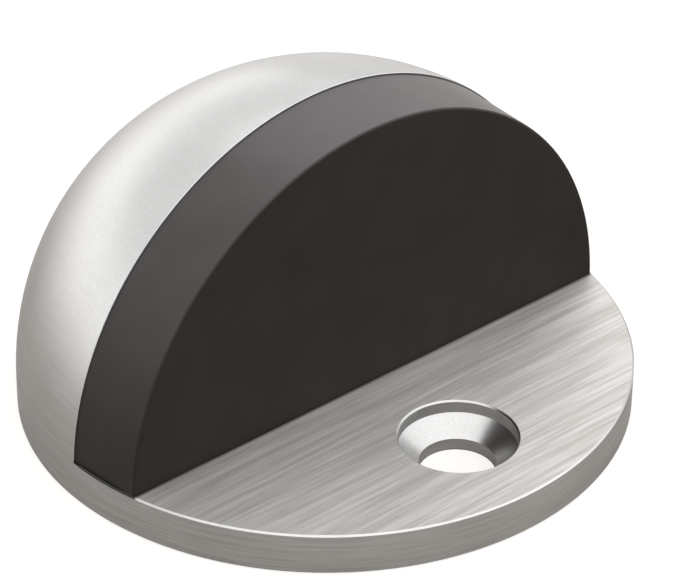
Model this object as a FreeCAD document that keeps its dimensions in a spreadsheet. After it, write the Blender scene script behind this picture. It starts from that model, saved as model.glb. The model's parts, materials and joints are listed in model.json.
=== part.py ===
import FreeCAD, Part
import math
import os
import Sketcher

doc = FreeCAD.newDocument("door_stop")

# All sizes are in millimetres. The stop stands on z = 0 with the disc's centre on the Z axis.
# The dome fills the rear (+Y) half, and the door comes from the front (-Y).
SIZES = {
    "disc_diameter": 45.0,
    "disc_thickness": 3.2,
    "rim_height": 2.0,             # straight wall of the rim, below the dome's curve
    "base_edge_break": 0.1,
    "disc_edge_break": 0.12,
    "dome_edge_break": 0.15,
    "dome_wall": 2.5,              # least metal between the tongue's pocket and the outside
    "cut_offset": 0.45,            # the dome's flat cut face lies this far behind the centre
    "slab_thickness": 5.85,        # the rubber ahead of the cut face
    "slab_back_inset": 0.15,       # step from the dome's edge in to the rubber
    "slab_front_inset": 0.05,      # the rubber's front corners, in from the disc's edge
    "slab_front_drop": 0.2,        # fall of the rubber's crest from the dome's top to the front
    "slab_edge_round": 0.2,
    "tongue_depth": 9.5,
    "tongue_clearance": 0.1,
    "floor_hole_setback": 8.1,     # centre of the floor screw's hole, in from the disc's edge
    "floor_hole_diameter": 5.5,
    "sink_diameter": 8.5,
    "sink_wall": 1.0,              # straight wall above the cone
    "sink_angle": 100.0,
    "sink_edge_break": 0.12,
    "peg_setback": 7.0,            # centre of the anti-turn peg's socket, in from the rear edge
    "peg_diameter": 4.0,
    "peg_depth": 5.0,
    "screw_spacing": 18.0,
    "screw_diameter": 4.0,
    "screw_length": 8.1,           # over the countersunk head
    "screw_tip_break": 0.4,
    "screw_head_diameter": 8.0,
    "screw_recess": 0.1,           # head below the underside of the disc
    "screw_hole_clearance": 0.15,
    "hexagon_width": 2.5,          # across flats
    "hexagon_depth": 1.5,
    "insert_diameter": 6.0,
    "insert_height": 6.5,
    "insert_cap": 0.9,             # closed end above the thread
    "flange_diameter": 9.0,
    "flange_thickness": 1.5,
    "fit_clearance": 0.03,
}

sheet = doc.addObject("Spreadsheet::Sheet", "sizes")
for row, (name, value) in enumerate(SIZES.items(), start=1):
    sheet.set("A%d" % row, name)
    sheet.set("B%d" % row, str(value))
    sheet.setAlias("B%d" % row, name)
doc.recompute()

# Places and lengths worked out from the sheet, as expressions that the sketches share.
DISC_RADIUS = "(sizes.disc_diameter / 2)"
DISC_TOP = "sizes.disc_thickness"
DOME_TOP = f"(sizes.rim_height + {DISC_RADIUS})"
CUT_Y = "sizes.cut_offset"
FRONT_Y = "(sizes.cut_offset - sizes.slab_thickness)"
CUT_CHORD = f"sqrt({DISC_RADIUS}^2 - {CUT_Y}^2)"
FRONT_CHORD = f"sqrt({DISC_RADIUS}^2 - {FRONT_Y}^2)"
POCKET_DEPTH = "(sizes.tongue_depth + sizes.tongue_clearance)"
POCKET_RADIUS = f"sqrt(({DISC_RADIUS} - sizes.dome_wall)^2 - ({CUT_Y} + {POCKET_DEPTH})^2)"
FLOOR_HOLE_Y = f"(sizes.floor_hole_setback - {DISC_RADIUS})"
PEG_Y = f"({DISC_RADIUS} - sizes.peg_setback)"
SCREW_X = "(sizes.screw_spacing / 2)"
SCREW_Y = f"({CUT_Y} + sizes.tongue_depth / 2)"


def number(expression):
    """The present value of an expression, in plain millimetres or degrees."""
    value = sheet.evalExpression(str(expression))
    return float(getattr(value, "Value", value))


# Sketches

def new_body(label):
    made = doc.addObject("PartDesign::Body", label)
    made.Label = label
    return made


def new_sketch(owner, name, role, offset=None):
    """An empty sketch on one of a body's own origin planes, moved along its normal."""
    plane = next(f for f in owner.Origin.OriginFeatures if f.Role == role)
    sketch = owner.newObject("Sketcher::SketchObject", name)
    sketch.AttachmentSupport = [(plane, "")]
    sketch.MapMode = "FlatFace"
    if offset:
        sketch.setExpression("AttachmentOffset.Base.z", offset)
    return sketch


def constrain(sketch, expression, kind, *where):
    """Add a dimension whose value is an expression."""
    index = sketch.addConstraint(Sketcher.Constraint(kind, *where, number(expression)))
    sketch.setExpression(f"Constraints[{index}]", str(expression))


def pin(sketch, edge, end, x, y):
    """Hold an end or a centre at (x, y). None lies on the sketch's own axis."""
    for kind, value, axis in (("DistanceX", x, -2), ("DistanceY", y, -1)):
        if value is None:
            sketch.addConstraint(Sketcher.Constraint("PointOnObject", edge, end, axis))
        else:
            constrain(sketch, value, kind, -1, 1, edge, end)


def point(x, y):
    return FreeCAD.Vector(number(x or 0), number(y or 0), 0)


def draw_line(sketch, start, finish, construction=False):
    return sketch.addGeometry(Part.LineSegment(point(*start), point(*finish)), construction)


def draw_arc(sketch, centre, radius, start_angle, end_angle):
    whole = Part.Circle(point(*centre), FreeCAD.Vector(0, 0, 1), number(radius))
    return sketch.addGeometry(Part.ArcOfCircle(whole, start_angle, end_angle), False)


def draw_circle(sketch, x, y, diameter):
    whole = Part.Circle(point(x, y), FreeCAD.Vector(0, 0, 1), number(diameter) / 2)
    index = sketch.addGeometry(whole, False)
    pin(sketch, index, 3, x, y)
    constrain(sketch, diameter, "Diameter", index)


def join_ends(sketch, edges):
    """Close a chain of edges: each one's end meets the next one's start."""
    for edge, following in zip(edges, edges[1:] + edges[:1]):
        sketch.addConstraint(Sketcher.Constraint("Coincident", edge, 2, following, 1))


def draw_polygon(sketch, points):
    edges = [draw_line(sketch, start, finish)
             for start, finish in zip(points, points[1:] + points[:1])]
    join_ends(sketch, edges)
    for edge, start in zip(edges, points):
        pin(sketch, edge, 1, *start)


def draw_half_round(sketch, radius, centre_height, flat_height):
    """A D lying on its flat: an arc centred on the vertical axis, closed by a level line."""
    drop = (number(flat_height) - number(centre_height)) / number(radius)
    start = math.asin(drop)
    arc = draw_arc(sketch, (None, centre_height), radius, start, math.pi - start)
    half_chord = number(radius) * math.cos(start)
    flat = draw_line(sketch, (-half_chord, flat_height), (half_chord, flat_height))
    join_ends(sketch, [arc, flat])
    sketch.addConstraint(Sketcher.Constraint("Horizontal", flat))
    pin(sketch, arc, 3, None, centre_height)
    constrain(sketch, radius, "Radius", arc)
    constrain(sketch, flat_height, "DistanceY", -1, 1, flat, 1)


# Features

def add_feature(kind, name, sketch):
    """Add a feature to the sketch's own body."""
    feature = sketch.getParentGeoFeatureGroup().newObject("PartDesign::" + kind, name)
    feature.Profile = sketch
    return feature


def extrude(kind, name, sketch, length, backwards=False):
    """Pad or pocket a sketch by a length, backwards being against the usual direction."""
    feature = add_feature(kind, name, sketch)
    feature.setExpression("Length", str(length))
    feature.Reversed = backwards
    doc.recompute()
    return feature


def turn(kind, name, sketch, axis, angle=360, backwards=False):
    """Revolve or groove a profile about one of its sketch's lines."""
    feature = add_feature(kind, name, sketch)
    feature.ReferenceAxis = (sketch, [axis])
    feature.Angle = angle
    feature.Reversed = backwards
    doc.recompute()
    return feature


def drill(name, sketch, diameter, depth, sink_diameter=None):
    """Flat-bottomed holes up from the underside, one at each circle of the sketch."""
    doc.recompute()
    hole = add_feature("Hole", name, sketch)
    hole.Reversed = True
    hole.DrillPoint = "Flat"
    hole.setExpression("Diameter", diameter)
    hole.setExpression("Depth", depth)
    if sink_diameter:
        hole.HoleCutType = "Countersink"
        hole.HoleCutCustomValues = True
        hole.HoleCutCountersinkAngle = 90
        hole.setExpression("HoleCutDiameter", sink_diameter)
    doc.recompute()
    return hole


def dress(kind, name, base, size, chosen):
    """Fillet or chamfer the edges of a feature for which chosen(edge) is true."""
    edges = [f"Edge{i}" for i, edge in enumerate(base.Shape.Edges, start=1) if chosen(edge)]
    feature = base.getParentGeoFeatureGroup().newObject("PartDesign::" + kind, name)
    feature.Base = (base, edges)
    feature.setExpression("Radius" if kind == "Fillet" else "Size", size)
    doc.recompute()
    return feature


def near(value, expression):
    return abs(value - number(expression)) < 1e-4


# The disc and the dome are one casting: the disc's front half, and a rear half in which the
# rim's wall carries on upwards into the dome.
body = new_body("body")
base_corner = [(None, None), (f"{DISC_RADIUS} - sizes.base_edge_break", None),
               (DISC_RADIUS, "sizes.base_edge_break")]

front_half = new_sketch(body, "front_half_outline", "XZ_Plane")
draw_polygon(front_half, base_corner + [
    (DISC_RADIUS, f"{DISC_TOP} - sizes.disc_edge_break"),
    (f"{DISC_RADIUS} - sizes.disc_edge_break", DISC_TOP),
    (None, DISC_TOP)])
turn("Revolution", "front_half", front_half, "V_Axis", 180, backwards=True)

rear_half = new_sketch(body, "rear_half_outline", "XZ_Plane")
rim_top = (DISC_RADIUS, "sizes.rim_height")
rim_points = base_corner + [rim_top]
rear_edges = [draw_line(rear_half, *ends) for ends in zip(rim_points, rim_points[1:])]
dome_arc = draw_arc(rear_half, (None, "sizes.rim_height"), DISC_RADIUS, 0, math.pi / 2)
dome_axis = draw_line(rear_half, (None, DOME_TOP), (None, None))
join_ends(rear_half, rear_edges + [dome_arc, dome_axis])
for edge, start in zip(rear_edges + [dome_arc], rim_points):
    pin(rear_half, edge, 1, *start)
pin(rear_half, dome_arc, 3, None, "sizes.rim_height")
rear_half.addConstraint(Sketcher.Constraint("PointOnObject", dome_axis, 1, -2))
turn("Revolution", "rear_half", rear_half, "V_Axis", 180)

# Everything ahead of the cut face and above the disc goes, across the whole width.
ahead = new_sketch(body, "ahead_outline", "YZ_Plane")
draw_polygon(ahead, [(CUT_Y, DISC_TOP),
                     (CUT_Y, f"{DISC_TOP} + sizes.disc_diameter"),
                     ("-sizes.disc_diameter", f"{DISC_TOP} + sizes.disc_diameter"),
                     ("-sizes.disc_diameter", DISC_TOP)])
cut_face = extrude("Pocket", "cut_face", ahead, "sizes.disc_diameter")
cut_face.SideType = "Symmetric"
doc.recompute()

pocket = new_sketch(body, "pocket_outline", "XZ_Plane", f"-{CUT_Y}")
draw_half_round(pocket, POCKET_RADIUS, "sizes.rim_height", DISC_TOP)
extrude("Pocket", "tongue_pocket", pocket, POCKET_DEPTH)

# The cut face's outer edge is broken at 45 degrees, by a turn about the dome's centre line
# that stops where the edge meets the disc.
edge_top = f"(sizes.rim_height + {CUT_CHORD})"
broken_edge = new_sketch(body, "broken_edge_outline", "YZ_Plane")
draw_polygon(broken_edge, [(CUT_Y, f"{edge_top} - sizes.dome_edge_break"),
                           (f"{CUT_Y} + 2 * sizes.dome_edge_break",
                            f"{edge_top} + sizes.dome_edge_break"),
                           (CUT_Y, f"{edge_top} + sizes.dome_edge_break")])
centre_line = draw_line(broken_edge, (None, "sizes.rim_height"), rim_top, construction=True)
pin(broken_edge, centre_line, 1, None, "sizes.rim_height")
pin(broken_edge, centre_line, 2, *rim_top)
dome_edge = turn("Groove", "dome_edge", broken_edge, "Axis0")
dome_edge.Midplane = True
dome_edge.setExpression(
    "Angle", f"180 - 2 * asin(({DISC_TOP} - sizes.rim_height) / {DISC_RADIUS}) / 1deg")
doc.recompute()

# The floor screw's hole has a short straight wall at the top, a cone and a clearance hole.
hole_wall = f"({FLOOR_HOLE_Y} + sizes.floor_hole_diameter / 2)"
sink_wall = f"({FLOOR_HOLE_Y} + sizes.sink_diameter / 2)"
cone_top = f"({DISC_TOP} - sizes.sink_wall)"
cone_foot = f"({cone_top} - ({sink_wall} - {hole_wall}) / tan(sizes.sink_angle / 2 * 1deg))"
floor_hole = new_sketch(body, "floor_hole_outline", "YZ_Plane")
draw_polygon(floor_hole, [(FLOOR_HOLE_Y, None), (hole_wall, None), (hole_wall, cone_foot),
                          (sink_wall, cone_top), (sink_wall, DISC_TOP),
                          (FLOOR_HOLE_Y, DISC_TOP)])
turn("Groove", "floor_hole", floor_hole, "Edge6")

# Holes up from the underside: two for the retaining screws, one for an anti-turn peg.
screw_hole = "(sizes.screw_diameter + 2 * sizes.screw_hole_clearance)"
screw_centres = new_sketch(body, "screw_centres", "XY_Plane")
for sign in ("-1", "1"):
    draw_circle(screw_centres, f"{sign} * {SCREW_X}", SCREW_Y, screw_hole)
drill("screw_holes", screw_centres, screw_hole, DISC_TOP,
      "sizes.screw_head_diameter + 2 * (sizes.screw_recess + sizes.fit_clearance)")

peg_centre = new_sketch(body, "peg_centre", "XY_Plane")
draw_circle(peg_centre, None, PEG_Y, "sizes.peg_diameter")
peg_socket = drill("peg_socket", peg_centre, "sizes.peg_diameter", "sizes.peg_depth")

dress("Chamfer", "sink_edge", peg_socket, "sizes.sink_edge_break",
      lambda edge: edge.Closed and near(edge.CenterOfMass.z, DISC_TOP)
      and near(edge.CenterOfMass.y, FLOOR_HOLE_Y))


# The rubber is a slab that follows the dome's edge, with a tongue that fills the pocket.
buffer = new_body("buffer")


def slab_outline(name, plane_y, half_width, top):
    """The slab's outline in one plane: an arc over its crest from one foot to the other."""
    rise = f"({top} - {DISC_TOP})"
    radius = f"((({half_width})^2 + {rise}^2) / (2 * {rise}))"
    sketch = new_sketch(buffer, name, "XZ_Plane", f"-1 * {plane_y}")
    draw_half_round(sketch, radius, f"{top} - {radius}", DISC_TOP)
    return sketch


slab_back = slab_outline("slab_back", CUT_Y, f"{CUT_CHORD} - sizes.slab_back_inset",
                         f"({DOME_TOP} - sizes.slab_back_inset)")
slab_front = slab_outline("slab_front", FRONT_Y, f"{FRONT_CHORD} - sizes.slab_front_inset",
                          f"({DOME_TOP} - sizes.slab_front_drop)")
slab = add_feature("AdditiveLoft", "slab", slab_back)
slab.Sections = [slab_front]
slab.Ruled = True
doc.recompute()

tongue = new_sketch(buffer, "tongue_outline", "XZ_Plane", f"-{CUT_Y}")
draw_half_round(tongue, f"{POCKET_RADIUS} - sizes.tongue_clearance", "sizes.rim_height",
                DISC_TOP)
extrude("Pad", "tongue", tongue, "sizes.tongue_depth", backwards=True)


def draw_insert(sketch, axis_x, foot, clearance):
    """Half an insert's section about its axis: a barrel with a flange round its top."""
    barrel = f"{axis_x} + sizes.insert_diameter / 2 + {clearance}"
    flange = f"{axis_x} + sizes.flange_diameter / 2 + {clearance}"
    top = f"{foot} + sizes.insert_height + {clearance}"
    step = f"{foot} + sizes.insert_height - sizes.flange_thickness - {clearance}"
    draw_polygon(sketch, [(axis_x, foot), (barrel, foot), (barrel, step), (flange, step),
                          (flange, top), (axis_x, top)])


seat_outline = new_sketch(buffer, "insert_seat_outline", "XZ_Plane", f"-1 * {SCREW_Y}")
draw_insert(seat_outline, SCREW_X, DISC_TOP, "sizes.fit_clearance")
insert_seat = turn("Groove", "insert_seat", seat_outline, "Edge6")
both_seats = buffer.newObject("PartDesign::Mirrored", "both_insert_seats")
both_seats.Originals = [insert_seat]
both_seats.MirrorPlane = (slab_back, ["V_Axis"])
buffer.Tip = both_seats
doc.recompute()

dress("Fillet", "front_edge", both_seats, "sizes.slab_edge_round",
      lambda edge: near(edge.CenterOfMass.y, FRONT_Y)
      and edge.CenterOfMass.z > 2 * number(DISC_TOP))


def make_insert(label):
    """A blind, flanged brass insert, its foot on its own origin."""
    made = new_body(label)
    section = new_sketch(made, label + "_section", "XZ_Plane")
    draw_insert(section, "0", "0", "0")
    turn("Revolution", label + "_blank", section, "V_Axis")
    bore = new_sketch(made, label + "_bore_circle", "XY_Plane")
    draw_circle(bore, None, None, "sizes.screw_diameter + 2 * sizes.fit_clearance")
    extrude("Pocket", label + "_bore", bore, "sizes.insert_height - sizes.insert_cap",
            backwards=True)
    return made


def make_screw(label):
    """A countersunk screw, the flat of its head on its own origin and its shank upwards."""
    made = new_body(label)
    head = "(sizes.screw_head_diameter / 2)"
    shank = "(sizes.screw_diameter / 2)"
    section = new_sketch(made, label + "_section", "XZ_Plane")
    draw_polygon(section, [(None, None), (head, None), (shank, f"{head} - {shank}"),
                           (shank, "sizes.screw_length - sizes.screw_tip_break"),
                           (f"{shank} - sizes.screw_tip_break", "sizes.screw_length"),
                           (None, "sizes.screw_length")])
    turn("Revolution", label + "_blank", section, "V_Axis")
    hexagon = new_sketch(made, label + "_hexagon", "XY_Plane")
    corner = "sizes.hexagon_width / sqrt(3)"
    draw_polygon(hexagon, [(f"{corner} * cos({turned}deg)", f"{corner} * sin({turned}deg)")
                           for turned in range(30, 390, 60)])
    extrude("Pocket", label + "_socket", hexagon, "sizes.hexagon_depth", backwards=True)
    return made


for side, sign in (("left", "-1"), ("right", "1")):
    insert = make_insert("insert_" + side)
    insert.setExpression("Placement.Base.z", DISC_TOP)
    screw = make_screw("retaining_screw_" + side)
    screw.setExpression("Placement.Base.z", "sizes.screw_recess")
    for piece in (insert, screw):
        piece.setExpression("Placement.Base.x", f"{sign} * {SCREW_X}")
        piece.setExpression("Placement.Base.y", SCREW_Y)
doc.recompute()


# Check every object, then write each piece to a file of its own.
for item in doc.Objects:
    if {"Invalid", "Error"} & set(item.State):
        raise RuntimeError(f"{item.Label} failed: {item.State}")

os.makedirs("parts", exist_ok=True)
for piece in doc.findObjects("PartDesign::Body"):
    shape = piece.Shape
    if shape.isNull() or not shape.isValid() or len(shape.Solids) != 1:
        raise RuntimeError(f"{piece.Label} isn't one valid solid")
    shape.exportStep(f"parts/{piece.Label}.step")
    print(f"{piece.Label:24s} {shape.Volume:9.2f} mm3")
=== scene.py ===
import json
import math

import bmesh
import bpy
from mathutils import Matrix, Vector


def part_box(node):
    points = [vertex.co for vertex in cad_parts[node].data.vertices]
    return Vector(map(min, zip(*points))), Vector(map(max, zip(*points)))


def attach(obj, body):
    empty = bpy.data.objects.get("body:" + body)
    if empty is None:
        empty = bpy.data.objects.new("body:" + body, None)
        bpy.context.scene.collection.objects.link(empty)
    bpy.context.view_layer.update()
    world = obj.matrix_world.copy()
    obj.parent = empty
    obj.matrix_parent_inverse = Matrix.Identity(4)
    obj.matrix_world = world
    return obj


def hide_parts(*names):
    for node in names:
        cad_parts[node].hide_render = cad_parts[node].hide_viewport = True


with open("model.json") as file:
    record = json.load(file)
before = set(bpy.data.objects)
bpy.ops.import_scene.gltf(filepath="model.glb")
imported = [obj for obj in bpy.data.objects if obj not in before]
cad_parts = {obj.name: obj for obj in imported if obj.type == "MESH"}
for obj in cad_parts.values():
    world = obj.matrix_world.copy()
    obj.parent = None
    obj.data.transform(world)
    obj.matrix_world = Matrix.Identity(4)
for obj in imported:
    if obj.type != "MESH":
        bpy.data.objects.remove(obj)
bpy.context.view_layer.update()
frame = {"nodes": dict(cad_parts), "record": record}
nodes = frame["nodes"]
mm = 0.001
noiseLow, noiseHigh = 0.3, 0.7  # nearly all of a noise texture lies between these
print("frame loaded:", ", ".join(sorted(nodes)))


def colour(hexCode):  # sRGB hex to the linear colour that a shader takes
    channels = [int(hexCode[start:start + 2], 16) / 255 for start in (1, 3, 5)]
    return [c / 12.92 if c <= 0.04045 else ((c + 0.055) / 1.055) ** 2.4 for c in channels] + [1]


def newMaterial(name):
    material = bpy.data.materials.new(name)
    material.use_nodes = True
    material.node_tree.nodes.clear()
    return material


def addNode(owner, kind, settings=None, inputs=None):  # inputs are numbers, colours or other nodes' sockets
    tree = owner.node_tree
    node = tree.nodes.new("ShaderNode" + kind)
    for name, value in (settings or {}).items():
        setattr(node, name, value)
    for name, value in (inputs or {}).items():
        if isinstance(value, bpy.types.NodeSocket):
            tree.links.new(value, node.inputs[name])
        else:
            node.inputs[name].default_value = value
    return node


# Camera
cameraView = {
    "azimuth": -40.98,      # degrees; a negative one stands to the left of the front
    "elevation": 33.48,
    "roll": 0.50,
    "distance": 241.4,      # mm from the middle of the base
    "slideRight": 0.97,     # mm, across the line of sight
    "slideUp": 6.64,
    "lens": 174.98,         # mm
    "nearest": 0.01,        # m, what is closer than this isn't drawn
}


def addCamera(view):
    azimuth, elevation, roll = (math.radians(view[key]) for key in ("azimuth", "elevation", "roll"))
    turned = (Matrix.Rotation(azimuth, 4, "Z") @ Matrix.Rotation(math.pi / 2 - elevation, 4, "X")
              @ Matrix.Rotation(roll, 4, "Z"))
    stand = Vector((view["slideRight"], view["slideUp"], view["distance"])) * mm
    camera = bpy.data.objects.new("camera", bpy.data.cameras.new("camera"))
    camera.data.lens = view["lens"]
    camera.data.clip_start = view["nearest"]
    camera.matrix_world = turned @ Matrix.Translation(stand)
    bpy.context.scene.collection.objects.link(camera)
    bpy.context.scene.camera = camera


addCamera(cameraView)
print("camera placed")


# Stainless casting
casting = {
    "flatTone": ("#c1beba", "#dedcd9"),      # darkest and lightest scratch on the belt-brushed flats
    "roundTone": ("#c5c3c1", "#dcdcdc"),     # the same on the dome, the rim and the sink
    "toneStops": (0.34, 0.66),      # how high in the scratch pattern each of the two tones lies
    # Real scratches are under 0.1 mm wide, too fine to show, so these three are drawn coarser.
    "flatStreak": (9.0, 0.34),      # mm, length and width of a scratch on the flats
    "roundStreak": (7.0, 0.16),     # mm, round the dome and the rim
    "satinGrain": 0.16,             # mm, the finer, directionless part of the dome's finish
    "satinSpan": (0.35, 0.65),      # how far that grain reaches between the tones
    "satinShare": (0.9, 0.1),       # how much of it there is on the crown, and on an upright wall
    "satinSteepness": 0.55,         # where it starts to give way to the scratches
    "clouding": 7.0,                # mm, slow change of tone from hand finishing
    "cloudShade": (0.95, 1.04),
    "flatRoughness": 0.55,
    "roundRoughness": 0.31,
    "sinkRoughness": 0.3,           # turned in one cut, so it mirrors more than the flats
    # sinkShade is painted shade: the whole sink is drawn darker, as a recess
    "sinkShade": 0.92,
    "sinkRadius": 4.4,              # mm, with the broken edge
    "anisotropy": 0.5,
    "smearTurn": 0.25,              # of a whole turn: reflections smear across the scratches
    "edgeTint": 0.9,                # reflection left at a glancing angle, as on iron alloys
    "scratchDepth": 0.003,          # mm
    "flatSteepness": 0.02,          # a face that leans less than this is a flat
    "margin": 0.05,                 # mm above the disc's top, to tell the disc from the dome
    "cutFace": 0.56,                # mm behind the middle, just past the dome's flat face
    "cutTilt": -0.15,               # a face that looks further to the front than this is its edge
    "cornerShade": 0.08,            # painted shade: gap and contact shadow in the corner against the rubber
    "cornerWidth": 0.3,             # mm ahead of the rubber, on the disc
    "edgeBreak": 0.13,              # mm down from the disc's top
}


def satinStainless(steel, discTop, rubberFront, sinkCentre):
    # Cast stainless steel, belt-brushed on the flats and finished by hand round the dome: a satin
    # grey metal whose fine parallel scratches smear each reflection across themselves.
    material = newMaterial("satinStainless")

    def combine(operation, first, second=0.0):
        return addNode(material, "Math", {"operation": operation}, {0: first, 1: second}).outputs[0]

    coordinates = addNode(material, "TexCoord")
    place = coordinates.outputs["Object"]
    parted = addNode(material, "SeparateXYZ", inputs={0: place})
    backward, height = parted.outputs["Y"], parted.outputs["Z"]
    facing = addNode(material, "SeparateXYZ", inputs={0: coordinates.outputs["Normal"]})
    steepness = combine("SUBTRACT", 1.0, combine("ABSOLUTE", facing.outputs["Z"]))
    aboveDisc = discTop + steel["margin"] * mm
    onFlat = combine("MULTIPLY", combine("LESS_THAN", steepness, steel["flatSteepness"]),
                     combine("LESS_THAN", height, aboveDisc))

    # Painted shade at the rubber: the edge of the dome's flat face, and the disc beside the rubber.
    beforeDome = combine("LESS_THAN", backward, steel["cutFace"] * mm)
    onCut = combine("MULTIPLY", beforeDome, combine("LESS_THAN", facing.outputs["Y"], steel["cutTilt"]))
    atDome = combine("MULTIPLY", onCut, combine("GREATER_THAN", height, aboveDisc))
    nearRubber = addNode(material, "MapRange", inputs={
        "Value": backward, "From Min": rubberFront - steel["cornerWidth"] * mm, "From Max": rubberFront})
    besideRubber = combine("MULTIPLY", beforeDome, nearRubber.outputs[0])
    atDisc = combine("MULTIPLY", besideRubber,
                     combine("GREATER_THAN", height, discTop - steel["edgeBreak"] * mm))
    inCorner = combine("MAXIMUM", atDome, atDisc)

    # The sink is turned about its own axis, and all the rest about the middle of the disc.
    fromSink = addNode(material, "VectorMath", {"operation": "SUBTRACT"}, {0: place, 1: sinkCentre})
    acrossSink = addNode(material, "VectorMath", {"operation": "MULTIPLY"},
                         {0: fromSink.outputs[0], 1: (1, 1, 0)})
    reach = addNode(material, "VectorMath", {"operation": "LENGTH"}, {0: acrossSink.outputs[0]})
    inSink = combine("LESS_THAN", reach.outputs["Value"], steel["sinkRadius"] * mm)
    fromAxis = addNode(material, "Mix", {"data_type": "VECTOR"},
                       {0: inSink, 4: place, 5: fromSink.outputs[0]}).outputs[1]
    around = addNode(material, "VectorMath", {"operation": "CROSS_PRODUCT"},
                     {0: (0, 0, 1), 1: fromAxis}).outputs[0]
    lay = addNode(material, "Mix", {"data_type": "VECTOR"}, {0: onFlat, 4: around, 5: (1, 0, 0)})

    def scratches(vector, length, width, along):
        narrow = [1 / ((length if axis in along else width) * mm) for axis in "XYZ"]
        stretched = addNode(material, "Mapping", inputs={"Vector": vector, "Scale": narrow})
        return addNode(material, "TexNoise", inputs={
            "Vector": stretched.outputs[0], "Scale": 1.0, "Detail": 3.0, "Roughness": 0.62}).outputs[0]

    flatScratch = scratches(place, *steel["flatStreak"], "XZ")
    roundScratch = scratches(fromAxis, *steel["roundStreak"], "XY")
    grain = addNode(material, "TexNoise", inputs={
        "Vector": place, "Scale": 1 / (steel["satinGrain"] * mm), "Detail": 1.0}).outputs[0]
    satin = addNode(material, "MapRange", inputs={
        "Value": grain, "To Min": steel["satinSpan"][0], "To Max": steel["satinSpan"][1]})
    onCrown, onWall = steel["satinShare"]
    satinShare = addNode(material, "MapRange", inputs={
        "Value": steepness, "From Min": steel["satinSteepness"], "To Min": onCrown, "To Max": onWall})
    roundMark = addNode(material, "Mix", inputs={
        0: satinShare.outputs[0], 2: roundScratch, 3: satin.outputs[0]})
    mark = addNode(material, "Mix", inputs={0: onFlat, 2: roundMark.outputs[0], 3: flatScratch}).outputs[0]

    def tones(pair):
        ramp = addNode(material, "ValToRGB", inputs={0: mark})
        for element, position, tone in zip(ramp.color_ramp.elements, steel["toneStops"], pair):
            element.position = position
            element.color = colour(tone)
        return ramp.outputs[0]

    tone = addNode(material, "Mix", {"data_type": "RGBA"},
                   {0: onFlat, 6: tones(steel["roundTone"]), 7: tones(steel["flatTone"])})
    cloud = addNode(material, "TexNoise", inputs={"Vector": place, "Scale": 1 / (steel["clouding"] * mm)})
    darkest, lightest = steel["cloudShade"]
    shade = addNode(material, "MapRange", inputs={
        "Value": cloud.outputs[0], "From Min": noiseLow, "From Max": noiseHigh,
        "To Min": darkest, "To Max": lightest})
    # painted shade: the corner against the rubber is drawn darker
    cornerPaintedShade = addNode(material, "MapRange", inputs={
        "Value": inCorner, "To Min": 1.0, "To Max": steel["cornerShade"]})
    # painted shade: the sink is drawn darker
    sinkPaintedShade = addNode(material, "MapRange", inputs={
        "Value": inSink, "To Min": 1.0, "To Max": steel["sinkShade"]})
    cloudAndPaintedShade = combine("MULTIPLY", combine("MULTIPLY", shade.outputs[0], cornerPaintedShade.outputs[0]), sinkPaintedShade.outputs[0])
    clouded = addNode(material, "VectorMath", {"operation": "SCALE"}, {0: tone.outputs[2], "Scale": cloudAndPaintedShade})

    roundRoughness = addNode(material, "Mix", inputs={
        0: inSink, 2: steel["roundRoughness"], 3: steel["sinkRoughness"]})
    roughness = addNode(material, "Mix", inputs={
        0: onFlat, 2: roundRoughness.outputs[0], 3: steel["flatRoughness"]})
    bump = addNode(material, "Bump", inputs={"Height": mark, "Distance": steel["scratchDepth"] * mm})
    shader = addNode(material, "BsdfPrincipled", inputs={
        "Base Color": clouded.outputs[0], "Metallic": 1.0, "Roughness": roughness.outputs[0],
        "Specular Tint": (steel["edgeTint"],) * 3 + (1,), "Anisotropic": steel["anisotropy"],
        "Anisotropic Rotation": steel["smearTurn"], "Tangent": lay.outputs[1],
        "Normal": bump.outputs[0]})
    addNode(material, "OutputMaterial", inputs={"Surface": shader.outputs[0]})
    return material


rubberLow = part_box("buffer")[0]
discTop = rubberLow.z  # the rubber stands on the disc
rubberFront = rubberLow.y
sinkMount = next(mount for mount in frame["record"]["mounts"] if mount["name"] == "screw_hole")
sinkCentre = sinkMount["pos_m"]
body = nodes["body"]
body.data.materials[0] = satinStainless(casting, discTop, rubberFront, sinkCentre)
print("casting finished")


# Rubber buffer
rubber = {
    "sideTone": "#1c1710",
    "faceTone": "#25201b",
    "dustAndSheenTone": "#676364",      # painted sheen where the rubber faces straight up, and the colour of its dust
    "paintedSheenByLevel": ((0.1, 0.0), (0.6, 0.37), (0.9, 0.57), (1.0, 1.0)),  # how level it lies, and how much painted sheen it gets there
    "dustAndSheenPatch": 3.5,           # mm
    "patchShade": (0.95, 1.04),
    "haze": 0.045,              # dust that clings anywhere, in patches
    "sideRoughness": 0.5,
    "faceRoughness": 0.7,
    "sideGloss": 0.2,
    "faceGloss": 0.25,
    "bloom": 0.6,               # on the sides only, because doors rub it off the face
    "bloomTone": "#dad4d1",
    "bloomSpread": 0.4,
    "grain": 0.12,              # mm, drawn coarser than the mould's own, to show
    "grainDepth": 0.002,        # mm
    "weld": 0.001,              # mm, joins the corners of the CAD's loose triangles
    "faceTilt": -0.35,          # what looks further to the front than this is the face that doors meet
    "sharpEdge": 50,            # degrees
    "flatWeight": 100,          # the rounded edges take the whole turn of the shading
}


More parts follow.
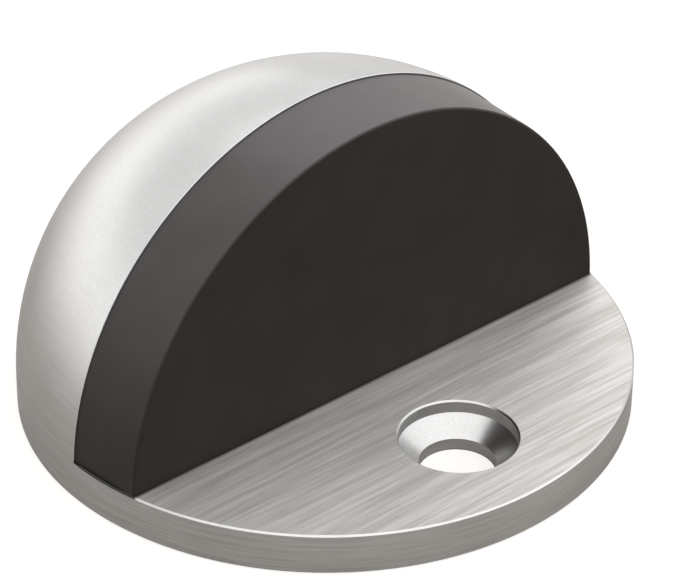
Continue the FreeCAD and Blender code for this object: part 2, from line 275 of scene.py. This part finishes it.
def mouldedRubber(name, tone, roughness, gloss, bloom, settings):
    # Moulded black rubber: near black, a grey bloom at a glancing angle, pale painted sheen on top, and
    # dust.
    material = newMaterial(name)
    coordinates = addNode(material, "TexCoord")
    place = coordinates.outputs["Object"]
    upward = addNode(material, "SeparateXYZ", inputs={0: coordinates.outputs["Normal"]}).outputs["Z"]
    patches = addNode(material, "TexNoise", inputs={
        "Vector": place, "Scale": 1 / (settings["dustAndSheenPatch"] * mm), "Detail": 3.0}).outputs[0]
    faintestPatch, strongestPatch = settings["patchShade"]
    patchy = addNode(material, "MapRange", inputs={
        "Value": patches, "From Min": noiseLow, "From Max": noiseHigh,
        "To Min": faintestPatch, "To Max": strongestPatch})
    haze = addNode(material, "MapRange", inputs={
        "Value": patches, "From Min": 0.35, "From Max": 0.7, "To Max": settings["haze"]})
    # painted sheen: the colour turns paler the more the surface faces up, as if lit from above
    paintedSheen = addNode(material, "ValToRGB", inputs={0: upward})
    paintedSheen.color_ramp.interpolation = "CARDINAL"
    stops = paintedSheen.color_ramp.elements
    while len(stops) < len(settings["paintedSheenByLevel"]):
        stops.new(0.5)
    for stop, (level, dust) in zip(stops, settings["paintedSheenByLevel"]):
        stop.position = level
        stop.color = (dust, dust, dust, 1)
    dustAndSheen = addNode(material, "Math", {"operation": "MULTIPLY_ADD", "use_clamp": True},
                    {0: paintedSheen.outputs[0], 1: patchy.outputs[0], 2: haze.outputs[0]})
    dustAndSheenColour = addNode(material, "Mix", {"data_type": "RGBA"},
                     {0: dustAndSheen.outputs[0], 6: colour(tone), 7: colour(settings["dustAndSheenTone"])})
    grain = addNode(material, "TexNoise", inputs={
        "Vector": place, "Scale": 1 / (settings["grain"] * mm), "Detail": 2.0})
    bump = addNode(material, "Bump", inputs={
        "Height": grain.outputs[0], "Distance": settings["grainDepth"] * mm})
    shader = addNode(material, "BsdfPrincipled", inputs={
        "Base Color": dustAndSheenColour.outputs[2], "Roughness": roughness, "IOR": 1.5, "Specular IOR Level": gloss,
        "Sheen Weight": bloom, "Sheen Roughness": settings["bloomSpread"],
        "Sheen Tint": colour(settings["bloomTone"]), "Normal": bump.outputs[0]})
    addNode(material, "OutputMaterial", inputs={"Surface": shader.outputs[0]})
    return material


def buildBuffer(settings):
    shape = bmesh.new()
    shape.from_mesh(nodes["buffer"].data)
    bmesh.ops.remove_doubles(shape, verts=shape.verts, dist=settings["weld"] * mm)
    for face in shape.faces:
        face.smooth = True
        face.material_index = 1 if face.normal.y < settings["faceTilt"] else 0
    mesh = bpy.data.meshes.new("rubberBuffer")
    shape.to_mesh(mesh)
    shape.free()
    mesh.attributes.remove(mesh.attributes["custom_normal"])  # these fit only the loose triangles
    mesh.set_sharp_from_angle(angle=math.radians(settings["sharpEdge"]))
    mesh.materials.append(mouldedRubber("mouldedRubber", settings["sideTone"], settings["sideRoughness"],
                                        settings["sideGloss"], settings["bloom"], settings))
    mesh.materials.append(mouldedRubber("facedRubber", settings["faceTone"], settings["faceRoughness"],
                                        settings["faceGloss"], 0.0, settings))
    buffer = bpy.data.objects.new("rubberBuffer", mesh)
    bpy.context.scene.collection.objects.link(buffer)
    evenNormals = buffer.modifiers.new("evenNormals", "WEIGHTED_NORMAL")
    evenNormals.weight = settings["flatWeight"]
    evenNormals.keep_sharp = True
    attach(buffer, "root")
    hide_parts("buffer")


buildBuffer(rubber)
print("rubber finished")


# Screws and threaded inserts
fittings = {
    "retaining_screw": {
        "name": "zincPlatedSteel", "slot": "screw_steel",
        "tones": ("#8f8e8c", "#a9a8a5"),
        "roughness": (0.24, 0.42),
        "feed": 0.11,               # mm between one ring and the next
        "ringDepth": 0.004,         # mm
        "smudge": 1.6,              # mm
    },
    "insert": {
        "name": "turnedBrass", "slot": "brass",
        "tones": ("#b8975a", "#d2b36f"),
        "roughness": (0.2, 0.36),
        "feed": 0.08,
        "ringDepth": 0.004,
        "smudge": 2.2,
    },
}
waveLength = 0.314      # of a wave texture at scale 1


def turnedMetal(metal, centre):
    # Plated screw steel, or free-cutting brass: turned on a lathe, so fine rings run round the piece's
    # own axis and handling has dulled it in places. One material serves both of a pair.
    material = newMaterial(metal["name"])
    place = addNode(material, "TexCoord").outputs["Object"]
    onRight = addNode(material, "VectorMath", {"operation": "ABSOLUTE"}, {0: place}).outputs[0]
    fromAxis = addNode(material, "VectorMath", {"operation": "SUBTRACT"},
                       {0: onRight, 1: centre}).outputs[0]
    rings = addNode(material, "TexWave", {"wave_type": "RINGS", "rings_direction": "Z"}, {
        "Vector": fromAxis, "Scale": waveLength / (metal["feed"] * mm), "Distortion": 0.6, "Detail": 2.0})
    smudge = addNode(material, "TexNoise", inputs={
        "Vector": place, "Scale": 1 / (metal["smudge"] * mm), "Detail": 4.0}).outputs[0]
    low, high = metal["roughness"]
    dullness = addNode(material, "MapRange", inputs={
        "Value": smudge, "From Min": 0.35, "From Max": 0.65, "To Min": low, "To Max": high})
    tone = addNode(material, "Mix", {"data_type": "RGBA"},
                   {0: smudge, 6: colour(metal["tones"][0]), 7: colour(metal["tones"][1])})
    bump = addNode(material, "Bump", inputs={
        "Height": rings.outputs["Fac"], "Distance": metal["ringDepth"] * mm})
    shader = addNode(material, "BsdfPrincipled", inputs={
        "Base Color": tone.outputs[2], "Metallic": 1.0, "Roughness": dullness.outputs[0],
        "Normal": bump.outputs[0]})
    addNode(material, "OutputMaterial", inputs={"Surface": shader.outputs[0]})
    return material


for kind, metal in fittings.items():
    low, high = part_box(kind + "_right")
    finish = turnedMetal(metal, (low + high) / 2)
    for side in ("left", "right"):
        fitting = nodes[kind + "_" + side]
        fitting.data.materials[0] = finish
print("screws and inserts finished")


# Floor, lamps and surroundings
studio = {
    "floorRadius": 3.0,         # m
    "floorSides": 96,
    "floorTone": "#b2aea9",
    "cameraGlow": 0.68,         # brings the lit floor up to white
    "mirrorGlow": 0.62,         # the same in what the metal mirrors, beyond the shadow painted round the object
    # the glow that the metal mirrors fades out near the middle: a painted shadow round the object
    "paintedShadowFade": (0.04, 0.14),     # m from the middle, where it sets in and where it is full
    "ambient": 0.63,            # light from all round, against 1 for the white that is seen
    "lamps": {                  # where each stands and its width and height in m, and its brightness
        "overheadLamp": ((0.1, -0.15, 0.6), (1.6, 1.6), 0.58),
        "backLamp": ((-0.25, 1.0, 0.17), (2.4, 0.4), 0.5),
    },
}


def seenBy(owner, *rays):  # 1 for what a ray of one of these kinds meets first
    path = addNode(owner, "LightPath")
    seen = path.outputs[rays[0]]
    for ray in rays[1:]:
        seen = addNode(owner, "Math", {"operation": "MAXIMUM"}, {0: seen, 1: path.outputs[ray]}).outputs[0]
    return seen


def addFloor(settings):
    shape = bmesh.new()
    bmesh.ops.create_circle(shape, cap_ends=True, segments=settings["floorSides"],
                            radius=settings["floorRadius"])
    mesh = bpy.data.meshes.new("floor")
    shape.to_mesh(mesh)
    shape.free()
    floor = bpy.data.objects.new("floor", mesh)
    bpy.context.scene.collection.objects.link(floor)
    material = newMaterial("paleFloor")  # matt painted board
    paint = addNode(material, "BsdfDiffuse", inputs={"Color": colour(settings["floorTone"])})
    ofCamera = addNode(material, "Math", {"operation": "MULTIPLY"},
                       {0: seenBy(material, "Is Camera Ray"), 1: settings["cameraGlow"]})
    place = addNode(material, "TexCoord").outputs["Object"]
    away = addNode(material, "VectorMath", {"operation": "LENGTH"}, {0: place}).outputs["Value"]
    fadeFrom, fadeTo = settings["paintedShadowFade"]
    # painted shadow: the mirrored glow of the floor fades out near the object
    mirrorGlowPaintedShadow = addNode(material, "MapRange", inputs={
        "Value": away, "From Min": fadeFrom, "From Max": fadeTo, "To Max": settings["mirrorGlow"]})
    strength = addNode(material, "Math", {"operation": "MULTIPLY_ADD"},
                       {0: seenBy(material, "Is Glossy Ray", "Is Transmission Ray"),
                        1: mirrorGlowPaintedShadow.outputs[0], 2: ofCamera.outputs[0]})
    glow = addNode(material, "Emission", inputs={"Color": (1, 1, 1, 1), "Strength": strength.outputs[0]})
    surface = addNode(material, "AddShader", inputs={0: paint.outputs[0], 1: glow.outputs[0]})
    addNode(material, "OutputMaterial", inputs={"Surface": surface.outputs[0]})
    mesh.materials.append(material)


def addLamp(name, stand, size, brightness):
    lamp = bpy.data.objects.new(name, bpy.data.lights.new(name, "AREA"))
    lamp.data.shape = "RECTANGLE"
    lamp.data.size, lamp.data.size_y = size
    lamp.data.energy = brightness * math.pi * size[0] * size[1]
    lamp.location = stand
    lamp.rotation_euler = (-Vector(stand)).to_track_quat("-Z", "Y").to_euler()
    lamp.visible_camera = False
    bpy.context.scene.collection.objects.link(lamp)


def addSurroundings(settings):
    world = bpy.data.worlds.new("studio")
    bpy.context.scene.world = world
    world.use_nodes = True
    world.node_tree.nodes.clear()
    seen = seenBy(world, "Is Camera Ray", "Is Glossy Ray", "Is Transmission Ray")
    strength = addNode(world, "MapRange", inputs={"Value": seen, "To Min": settings["ambient"]})
    air = addNode(world, "Background", inputs={"Color": (1, 1, 1, 1), "Strength": strength.outputs[0]})
    addNode(world, "OutputWorld", inputs={"Surface": air.outputs[0]})


addFloor(studio)
for lampName, lampValues in studio["lamps"].items():
    addLamp(lampName, *lampValues)
addSurroundings(studio)
bpy.context.scene.view_settings.view_transform = "Standard"
print("studio lit")
